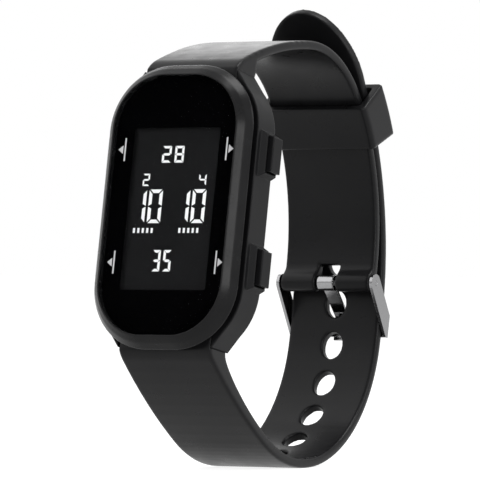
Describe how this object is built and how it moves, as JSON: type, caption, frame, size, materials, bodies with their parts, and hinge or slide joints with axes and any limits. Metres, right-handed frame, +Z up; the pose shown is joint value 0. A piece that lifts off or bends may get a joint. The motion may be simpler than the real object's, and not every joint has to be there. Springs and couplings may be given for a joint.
{
  "type": "digital wristwatch",
  "caption": "Slim tonneau digital sports watch with side push buttons, a flush dark lens, a holed resin strap, a steel pin buckle and a sliding keeper, closed.",
  "frame": {"origin": "under the middle of the whole closed watch, on the surface that it stands on", "axes": "+X across the watch toward 3 o'clock, the dial faces -Y and leans back 11 degrees, +Z up"},
  "size_m": [0.033, 0.0666, 0.0808],
  "materials": {
    "case_resin": "fine satin black resin",
    "bezel_resin": "satin black resin",
    "lens_clear": "clear polished hard resin, dark from the print behind it",
    "black_print": "gloss black print",
    "seal_rubber": "soft black rubber",
    "display_glass": "dark polarised glass",
    "light_guide": "clear white light guide",
    "module_plastic": "moulded grey black plastic",
    "board_green": "coated green board",
    "chip_black": "moulded black",
    "tin_silver": "plated can",
    "contact_brass": "bright brass",
    "cell_steel": "nickel plated steel",
    "spring_steel": "bright spring steel",
    "back_steel": "circular brushed steel",
    "screw_steel": "bright steel",
    "button_resin": "satin black resin",
    "strap_resin": "soft black strap resin",
    "keeper_resin": "soft black strap resin",
    "buckle_steel": "polished and lightly brushed steel"
  },
  "bodies": {
    "watch": {"case_body": "case_resin", "bezel": "bezel_resin", "lens": "lens_clear", "display_mask": "black_print", "lens_seal": "seal_rubber", "lcd_panel": "display_glass", "backlight_panel": "light_guide", "zebra_strips": "seal_rubber", "module_frame": "module_plastic", "circuit_board": "board_green", "driver_chip": "chip_black", "quartz_crystal": "tin_silver", "switch_contacts": "contact_brass", "cell_contact": "contact_brass", "coin_cell": "cell_steel", "cell_clip": "spring_steel", "piezo_buzzer": "contact_brass", "buzzer_spring": "spring_steel", "case_back": "back_steel", "case_back_gasket": "seal_rubber", "case_back_screws": "screw_steel", "button_springs": "spring_steel", "button_seals": "seal_rubber", "spring_bars": "spring_steel", "upper_strap": "strap_resin", "lower_strap": "strap_resin", "buckle_bar": "buckle_steel"},
    "start": {"button_start": "button_resin", "clip_start": "spring_steel"},
    "reset": {"button_reset": "button_resin", "clip_reset": "spring_steel"},
    "light": {"button_light": "button_resin", "clip_light": "spring_steel"},
    "mode": {"button_mode": "button_resin", "clip_mode": "spring_steel"},
    "buckle": {"buckle_frame": "buckle_steel"},
    "tongue": {"buckle_tongue": "buckle_steel"},
    "keeper": {"keeper_loop": "keeper_resin"}
  },
  "joints": [
    {"name": "start_press", "type": "slide", "parent": "watch", "child": "start", "axis": [-1, 0, 0], "range_m": [0, 0.0007], "stiffness_N_per_m": 1200, "springref_m": -0.0008},
    {"name": "reset_press", "type": "slide", "parent": "watch", "child": "reset", "axis": [-1, 0, 0], "range_m": [0, 0.0007], "stiffness_N_per_m": 1200, "springref_m": -0.0008},
    {"name": "light_press", "type": "slide", "parent": "watch", "child": "light", "axis": [1, 0, 0], "range_m": [0, 0.0007], "stiffness_N_per_m": 1200, "springref_m": -0.0008},
    {"name": "mode_press", "type": "slide", "parent": "watch", "child": "mode", "axis": [1, 0, 0], "range_m": [0, 0.0007], "stiffness_N_per_m": 1200, "springref_m": -0.0008},
    {"name": "buckle_hinge", "type": "hinge", "parent": "watch", "child": "buckle", "pos_m": [0, 0.02767, 0.0321], "axis": [1, 0, 0], "range_deg": [0, 3]},
    {"name": "tongue_hinge", "type": "hinge", "parent": "buckle", "child": "tongue", "pos_m": [0, 0.02767, 0.0321], "axis": [1, 0, 0], "range_deg": [0, 3]},
    {"name": "keeper_slide", "type": "hinge", "parent": "watch", "child": "keeper", "pos_m": [0, -0.00916, 0.04275], "axis": [-1, 0, 0], "range_deg": [0, 24]}
  ]
}
